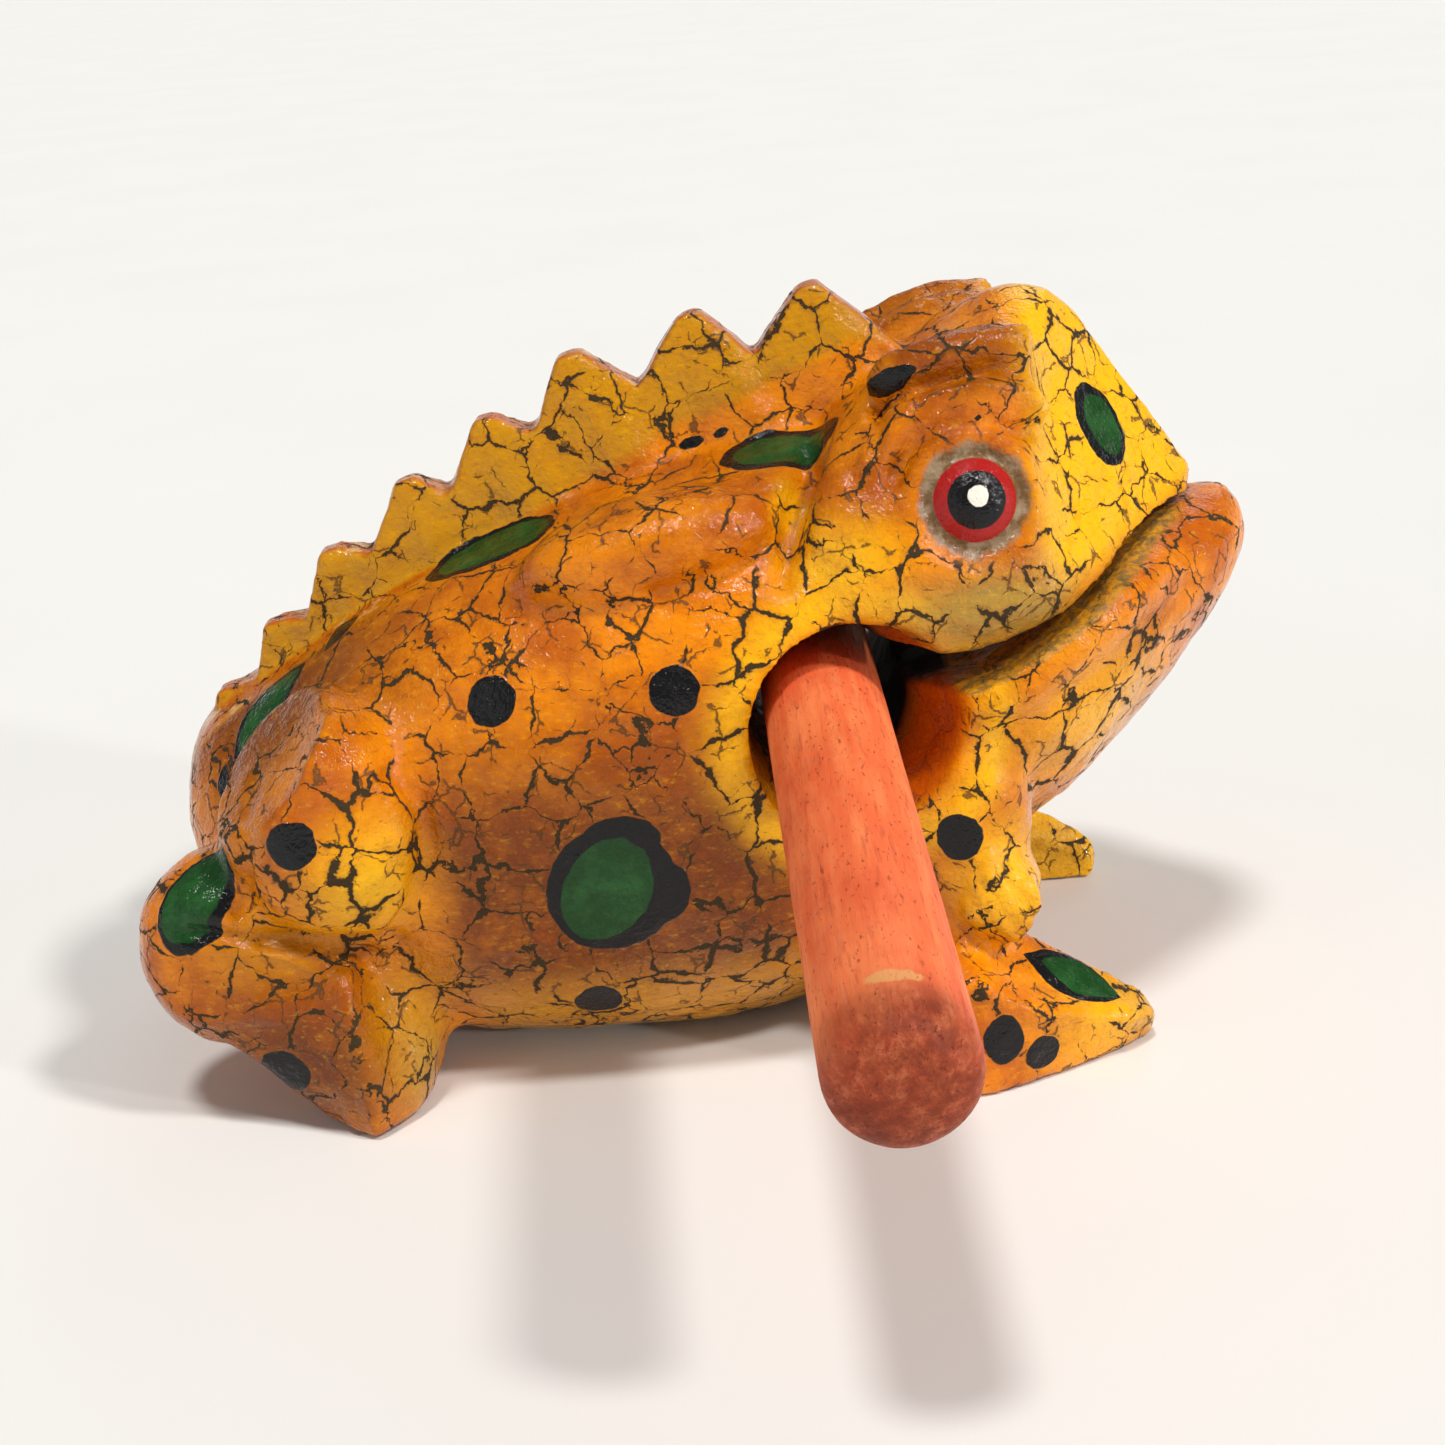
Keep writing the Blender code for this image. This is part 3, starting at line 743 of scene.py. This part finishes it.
def painted_eyes(s, colour, eye_mm, wobble_mm, cloud):
    """The colour with each eye's dirty grey ring, red, black and white dot."""
    ring_mm = s.math("ADD", eye_mm, s.math("MULTIPLY", wobble_mm, 2.2))
    ring_grey = s.mix(s.step(cloud, 0.44, 0.60), EYE_GREY, EYE_DIRT)
    colour = s.mix(s.step(ring_mm, 4.3, 5.0, 0.9, 0.0), colour, ring_grey)
    round_mm = s.math("ADD", eye_mm, s.math("MULTIPLY", wobble_mm, 0.35))
    colour = s.mix(s.inside(round_mm, EYE_RED_R), colour, EYE_RED)
    colour = s.mix(s.inside(round_mm, EYE_BLACK_R), colour, BLACK)
    glint_mm = s.math("ADD", s.stored("eye_glint"), s.math("MULTIPLY", wobble_mm, 0.8))
    return s.mix(s.inside(glint_mm), colour, EYE_WHITE)


def frog_paint():
    """Crackled and varnished amber paint, with the spots, leaves and eyes on it, and painted shade and
    light in places.
    """
    s = Shader("crackled_varnished_paint")
    place = s.place_mm()
    cloud = s.noise(place, 2.6, 4.0, 0.7)
    grain = s.noise(s.place_mm((0.45, 0.45, 1.0)), 0.42, 3.0, 0.65)
    patch = s.noise(place, 3.0, 3.0, 0.6)
    wobble_mm = s.math("MULTIPLY", s.math("SUBTRACT", s.noise(place, 1.3, 2.0), 0.5), 0.5)
    black_mm = s.math("ADD", s.stored("black_spot"), wobble_mm)
    green_mm = s.math("ADD", s.stored("green_spot"), wobble_mm)
    eye_mm = s.stored("eye_radius")

    colour = brushed_paint(s, place, cloud, grain, patch)
    crackable = s.math("MULTIPLY", s.step(black_mm, 0.0, 0.25, 0.12, 1.0), s.step(eye_mm, 4.4, 5.6))
    crackable = s.math("MULTIPLY", crackable, s.math("SUBTRACT", 1.0, s.stored("bore_shade")))
    colour, crack = crackled(s, colour, place, patch, crackable)
    sawn = s.mix(s.step(grain, 0.4, 0.6), SAWN, OLIVE)
    colour = s.mix(s.math("MULTIPLY", s.stored("sawn_wood"), 0.85), colour, sawn)
    # painted shade: a darker orange on the bore's scooped wall
    colour = s.mix(s.math("MULTIPLY", s.stored("scoop_shade"), 0.85), colour, SCOOP_SHADE)
    # painted shade: near-black deep inside the bore
    colour = s.mix(s.stored("bore_shade"), colour, BORE_SHADE)
    black_here = s.inside(black_mm)
    green_here = s.inside(green_mm, soft=0.06)
    colour = s.mix(black_here, colour, BLACK)
    colour = s.mix(green_here, colour, s.mix(s.step(cloud, 0.40, 0.70), GREEN, GREEN_PALE))
    s.join(painted_eyes(s, colour, eye_mm, wobble_mm, cloud), s.bsdf.inputs["Base Color"])

    matt = s.math("MAXIMUM", s.stored("bore_shade"), s.math("MULTIPLY", s.stored("sawn_wood"), 0.7))
    varnish = s.step(cloud, 0.3, 0.7, *VARNISH_ROUGHNESS)
    rough = s.math("ADD", varnish, s.math("MULTIPLY", crack, 0.65))
    rough = s.math("ADD", rough, s.math("MULTIPLY", matt, 0.6), clamp=True)
    s.join(rough, s.bsdf.inputs["Roughness"])
    daub = s.math("MULTIPLY", s.math("MAXIMUM", black_here, green_here), 0.35)
    relief = s.math("ADD", s.math("SUBTRACT", s.math("MULTIPLY", grain, 0.22), crack), daub)
    lumps = s.bump(s.noise(place, LUMPS[0], 3.0, 0.55), LUMPS[1])
    crinkles = s.bump(s.noise(place, CRINKLES[0], 2.0, 0.6), CRINKLES[1], lumps)
    s.join(s.bump(relief, PAINT_DEPTH, crinkles), s.bsdf.inputs["Normal"])
    s.bsdf.inputs["Specular IOR Level"].default_value = VARNISH_SPECULAR
    return s.material


# The stick's stain, from its usual red to its worn and dirty places
STAIN = (0.84, 0.145, 0.045)
STAIN_LIGHT = (0.96, 0.25, 0.085)
STAIN_DEEP = (0.62, 0.075, 0.025)
STAIN_FIBRE = (0.42, 0.05, 0.02)
GRIME = (0.17, 0.022, 0.006)
BARE_WOOD = (0.72, 0.36, 0.12)
SCUFF = (0.74, 0.25, 0.12)
PIT = (0.26, 0.032, 0.014)
# The patch that is worn to bare wood: how far its middle is from the near end, and its half sizes along
# the stick and round it
BARE_FROM_END = 6.0
BARE_HALF = (0.8, 1.7)
FIBRE_DEPTH = 0.10
PIT_DEPTH = 0.08
STICK_SPECULAR = 0.25


def stick_stain():
    """Red-orange stained wood, dirty at the end that plays, with fibres, scuffs and pits."""
    s = Shader("stained_stick_wood")
    place = s.place_mm()
    fibre_place = s.place_mm((1, 1, 0.12))
    fibre = s.noise(fibre_place, 0.55, 3.0, 0.6)
    streak = s.noise(fibre_place, 1.8, 2.0, 0.5)
    blotch = s.noise(place, 7.0, 3.0, 0.6)
    pits = s.noise(s.place_mm((1, 1, 0.35)), 0.30, 3.0, 0.6)
    dust = s.noise(s.place_mm((1, 1, 0.5)), 1.1, 5.0, 0.75)
    along = s.tree.nodes.new("ShaderNodeSeparateXYZ")
    s.join(place, along.inputs[0])
    unevenness = s.math("MULTIPLY", s.math("SUBTRACT", blotch, 0.5), 10.0)
    from_end = s.math("ADD", along.outputs[2], unevenness)
    colour = s.mix(s.step(streak, 0.35, 0.70), STAIN, STAIN_LIGHT)
    colour = s.mix(s.step(blotch, 0.40, 0.75, 0.0, 0.5), colour, STAIN_DEEP)
    colour = s.mix(s.step(fibre, 0.52, 0.75, 0.0, 0.5), colour, STAIN_FIBRE)
    dusty = s.step(dust, 0.38, 0.62, 1.0, 0.80)
    grime = s.math("MULTIPLY", s.step(from_end, 0.5, 8.5, 0.95, 0.0), dusty)
    colour = s.mix(grime, colour, GRIME)
    off_z = s.math("MULTIPLY", s.math("SUBTRACT", along.outputs[2], BARE_FROM_END), 1 / BARE_HALF[0])
    off_y = s.math("MULTIPLY", along.outputs[1], 1 / BARE_HALF[1])
    off = s.math("ADD", s.math("MULTIPLY", off_z, off_z), s.math("MULTIPLY", off_y, off_y))
    off = s.math("ADD", off, s.math("MULTIPLY", s.math("SUBTRACT", dust, 0.5), 3.0))
    bare = s.math("MULTIPLY", s.step(off, 1.2, 0.6), s.step(along.outputs[0], 1.0, 3.0))
    colour = s.mix(s.math("MULTIPLY", bare, 0.75), colour, BARE_WOOD)
    colour = s.mix(s.step(dust, 0.52, 0.72, 0.0, 0.30), colour, SCUFF)
    colour = s.mix(s.step(pits, 0.62, 0.72, 0.0, 0.55), colour, PIT)
    s.join(colour, s.bsdf.inputs["Base Color"])
    s.join(s.step(fibre, 0.3, 0.7, 0.50, 0.70), s.bsdf.inputs["Roughness"])
    s.bsdf.inputs["Specular IOR Level"].default_value = STICK_SPECULAR
    fibres = s.bump(fibre, FIBRE_DEPTH)
    s.join(s.bump(s.step(pits, 0.60, 0.74, 1.0, 0.0), PIT_DEPTH, fibres), s.bsdf.inputs["Normal"])
    return s.material


# The stick ------------------------------------------------------------------------------------
STICK_AROUND = 72  # points round each ring
STICK_STEP = 0.7  # distance between rings
STICK_INSET = 0.3  # how far the ends stay inside the CAD stick's
CAP_LENGTH = 3.8  # each domed end: its length, its rings and the powers that shape it
CAP_RINGS = 8
CAP_POWERS = (2.6, 2.2)
CAP_TIP = 0.12  # how far each end's middle point lies inside the end
CUT_DOWN = 0.012  # share of the radius that is cut away all over
# Long hollows and small dents: depth as a share of the radius, stretch, grain size and noise seed
HOLLOWS = (
    (0.012, (5, 5, 0.12), 6.0, 5),
    (0.006, (6, 6, 0.35), 2.0, 6),
)


def stick_rings(length):
    """The heights of a stick's rings and the share of its radius that each has."""
    cap = CAP_LENGTH * (1 - np.cos(0.5 * math.pi * np.arange(1, CAP_RINGS) / CAP_RINGS))
    steps = int((length - 2 * CAP_LENGTH) / STICK_STEP)
    heights = np.concatenate((cap, np.linspace(CAP_LENGTH, length - CAP_LENGTH, steps), length - cap[::-1]))
    into_cap = np.maximum(CAP_LENGTH - heights, heights - (length - CAP_LENGTH)).clip(0) / CAP_LENGTH
    return heights, (1 - into_cap ** CAP_POWERS[0]) ** (1 / CAP_POWERS[1])


def stick_faces(rings):
    """Quads between the rings, and a fan at each end round the two tips, which are the last two points."""
    faces = []
    for k in range(rings - 1):
        low, high = k * STICK_AROUND, (k + 1) * STICK_AROUND
        for i in range(STICK_AROUND):
            j = (i + 1) % STICK_AROUND
            faces.append((low + i, low + j, high + j, high + i))
    last = (rings - 1) * STICK_AROUND
    near_tip = rings * STICK_AROUND
    for i in range(STICK_AROUND):
        j = (i + 1) % STICK_AROUND
        faces.append((j, i, near_tip))
        faces.append((last + i, last + j, near_tip + 1))
    return faces


def stick_mesh(length, radius):
    """A round hand-cut stick with domed ends, standing on its near end."""
    heights, shares = stick_rings(length)
    angles = 2 * math.pi * np.arange(STICK_AROUND) / STICK_AROUND
    circle = np.column_stack((np.cos(angles), np.sin(angles), np.zeros(STICK_AROUND)))
    points = np.concatenate([circle * share + (0, 0, z) for z, share in zip(heights, shares)])
    thickness = np.full(len(points), 1 - CUT_DOWN)
    for depth, stretch, size, seed in HOLLOWS:
        thickness -= depth * np.abs(wobble(points * stretch, size, seed))
    points[:, :2] *= radius * thickness[:, None]
    tips = np.array([(0, 0, CAP_TIP), (0, 0, length - CAP_TIP)])
    mesh = bpy.data.meshes.new("stick_wood")
    mesh.from_pydata((np.vstack((points, tips)) * MM).tolist(), [], stick_faces(len(heights)))
    mesh.shade_smooth()
    return mesh


def make_stick():
    """The stick, on the CAD stick's own line. Its own Z runs along it from the near end."""
    points = read_points(frame["nodes"]["scraper_stick"].data)
    axis = -unit(frame["joints"][0]["axis"])
    along = points @ axis
    length = np.ptp(along) - 2 * STICK_INSET
    middle = (points.min(axis=0) + points.max(axis=0)) / 2
    near_end = middle + (along.min() + STICK_INSET - middle @ axis) * axis
    from_end = points - near_end
    radius = np.linalg.norm(from_end - np.outer(from_end @ axis, axis), axis=1).max()

    piece = bpy.data.objects.new("stick_wood", stick_mesh(length, radius))
    bpy.context.collection.objects.link(piece)
    up = unit((0, 0, 1) - (np.array((0, 0, 1)) @ axis) * axis)
    turn = Matrix((up, np.cross(axis, up), axis)).transposed().to_4x4()
    piece.matrix_world = Matrix.Translation(Vector(near_end) * MM) @ turn
    return piece


# Stage ----------------------------------------------------------------------------------------
# The camera: degrees above the horizon, degrees of tilt, lens and sensor in millimetres, and its place
# and nearest visible distance in metres
VIEW_ELEVATION = 20.0
VIEW_ROLL = 4.0
VIEW_LENS = 57.3
VIEW_SENSOR = 36.0
VIEW_PLACE = (0.0026, -0.1990, 0.0986)
VIEW_NEAREST = 0.01

FLOOR_REACH = 40.0  # metres from the middle to each edge
FLOOR_DROP = 0.0002  # metres that the floor lies under the feet
FLOOR_PALE = (0.80, 0.80, 0.79)
FLOOR_WHITE = (0.84, 0.84, 0.83)
FLOOR_CLOUDS = 60.0  # grain size of the floor's slight unevenness
ROOM_COLOUR = (1.0, 0.985, 0.96)
ROOM_LIGHT = 0.20
HORIZON_LIGHT = 0.88
HORIZON_GLOW = (0.06, 0.16)  # sines of the heights between which the horizon's light fades to the room's

# Name, where the light comes from, how wide it looks in degrees, strength and colour
LAMPS = (
    ("key", (0.60, -0.42, 0.80), 7.0, 1.45, (1.0, 0.97, 0.92)),
    ("top", (-0.10, -0.30, 1.00), 9.0, 1.5, (1.0, 0.98, 0.94)),
    ("window", (0.85, -0.50, 0.22), 2.5, 0.9, (1.0, 0.98, 0.95)),
    ("fill", (-0.75, -0.60, 0.45), 40.0, 0.25, (1.0, 1.0, 1.0)),
    ("rim", (0.25, 0.80, 0.55), 30.0, 0.30, (1.0, 1.0, 1.0)),
)


def make_camera():
    """Looks along +Y from the frog's right, a little above it and slightly tilted."""
    elevation, roll = math.radians(VIEW_ELEVATION), math.radians(VIEW_ROLL)
    back = Vector((0, -math.cos(elevation), math.sin(elevation)))
    right = Vector((1, 0, 0))
    up = back.cross(right)
    turned_right = right * math.cos(roll) - up * math.sin(roll)
    turned_up = right * math.sin(roll) + up * math.cos(roll)
    data = bpy.data.cameras.new("photo_view")
    data.sensor_width = VIEW_SENSOR
    data.lens = VIEW_LENS
    data.clip_start = VIEW_NEAREST
    camera = bpy.data.objects.new("photo_view", data)
    bpy.context.collection.objects.link(camera)
    place = Matrix((turned_right, turned_up, back)).transposed().to_4x4()
    place.translation = VIEW_PLACE
    camera.matrix_world = place
    bpy.context.scene.camera = camera


def make_lamp(name, towards, spread, strength, colour):
    """A distant round lamp."""
    data = bpy.data.lights.new(name, "SUN")
    data.angle = math.radians(spread)
    data.energy = strength
    data.color = colour
    lamp = bpy.data.objects.new(name, data)
    bpy.context.collection.objects.link(lamp)
    lamp.rotation_euler = Vector(towards).to_track_quat("Z", "Y").to_euler()


def make_floor():
    """A pale floor that is wide enough to have no edge in view."""
    mesh = bpy.data.meshes.new("floor")
    corners = [(FLOOR_REACH * x, FLOOR_REACH * y, 0) for x, y in ((-1, -1), (1, -1), (1, 1), (-1, 1))]
    mesh.from_pydata(corners, [], [(0, 1, 2, 3)])
    floor = bpy.data.objects.new("floor", mesh)
    bpy.context.collection.objects.link(floor)
    floor.location.z = -FLOOR_DROP
    s = Shader("pale_floor")
    paint = s.mix(s.noise(s.place_mm(), FLOOR_CLOUDS), FLOOR_PALE, FLOOR_WHITE)
    s.join(paint, s.bsdf.inputs["Base Color"])
    s.bsdf.inputs["Roughness"].default_value = 0.9
    s.bsdf.inputs["Specular IOR Level"].default_value = 0.1
    mesh.materials.append(s.material)


def make_room():
    """Even light from all round, brighter at the horizon, so that the pale floor fades into it."""
    world = bpy.data.worlds.new("soft_room")
    bpy.context.scene.world = world
    world.use_nodes = True
    nodes, links = world.node_tree.nodes, world.node_tree.links
    height = nodes.new("ShaderNodeSeparateXYZ")
    links.new(nodes.new("ShaderNodeTexCoord").outputs["Generated"], height.inputs[0])
    glow = nodes.new("ShaderNodeMapRange")
    glow.interpolation_type = "SMOOTHSTEP"
    links.new(height.outputs["Z"], glow.inputs[0])
    for socket, setting in zip(glow.inputs[1:5], (*HORIZON_GLOW, HORIZON_LIGHT, ROOM_LIGHT)):
        socket.default_value = setting
    nodes["Background"].inputs["Color"].default_value = (*ROOM_COLOUR, 1.0)
    links.new(glow.outputs[0], nodes["Background"].inputs["Strength"])


# Making it all --------------------------------------------------------------------------------
skin = make_skin()
paint_distances(skin.data)
skin.data.materials.clear()
skin.data.materials.append(frog_paint())
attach(skin, "frog")
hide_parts("frog_body")

stick = make_stick()
stick.data.materials.append(stick_stain())
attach(stick, "stick")
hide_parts("scraper_stick")

make_camera()
make_floor()
make_room()
for lamp in LAMPS:
    make_lamp(*lamp)
bpy.context.scene.view_settings.view_transform = "Standard"
